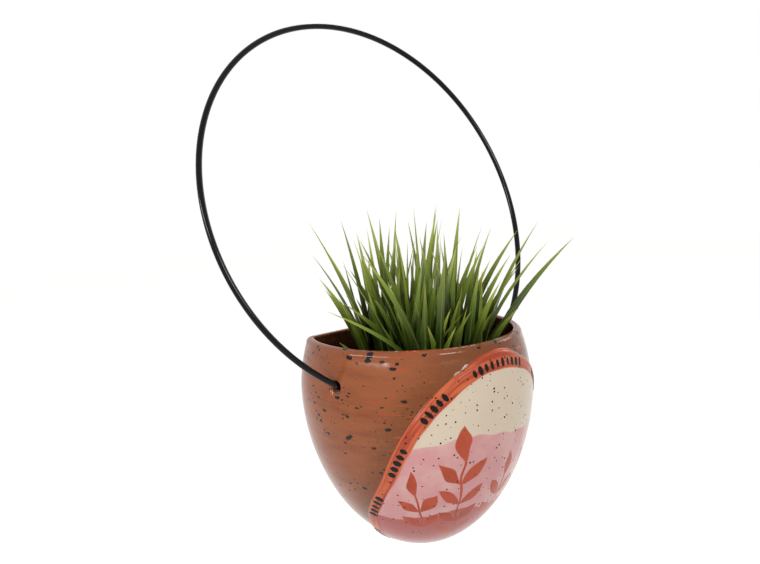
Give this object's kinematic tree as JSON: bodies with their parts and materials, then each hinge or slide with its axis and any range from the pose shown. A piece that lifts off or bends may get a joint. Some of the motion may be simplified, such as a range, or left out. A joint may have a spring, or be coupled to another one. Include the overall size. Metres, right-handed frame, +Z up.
{
  "type": "wall planter",
  "caption": "Egg-shaped glazed ceramic pot with a flat back and a raised slanting front panel, hung from a large swinging wire ring, with artificial grass set in a foam plug.",
  "frame": {"origin": "middle of the pot's flat back, level with the centre line of its two ring holes", "axes": "+X to the viewer's right as the pot is seen from the front, +Y into the wall behind it, +Z up"},
  "size_m": [0.276, 0.1596, 0.3632],
  "materials": {
    "glazed_stoneware": "gloss terracotta-brown glaze with dark flecks",
    "coated_wire": "satin black coating",
    "cap_vinyl": "matt black vinyl",
    "plant_foam": "matt green foam",
    "grass_plastic": "satin green"
  },
  "bodies": {
    "pot": {"pot_body": "glazed_stoneware"},
    "hanger": {"hanger_ring": "coated_wire", "wire_end_cap_left": "cap_vinyl", "wire_end_cap_right": "cap_vinyl"},
    "plant": {"foam_plug": "plant_foam", "grass_bunch_back_left": "grass_plastic", "grass_bunch_back_right": "grass_plastic", "grass_bunch_front_left": "grass_plastic", "grass_bunch_front_right": "grass_plastic"}
  },
  "joints": [
    {"name": "hanger_swing", "type": "hinge", "parent": "pot", "child": "hanger", "pos_m": [0, -0.0521, 0], "axis": [1, 0, 0], "range_deg": [0, 200]},
    {"name": "plant_lift", "type": "slide", "parent": "pot", "child": "plant", "axis": [0, 0, 1], "range_m": [0, 0.16]}
  ]
}
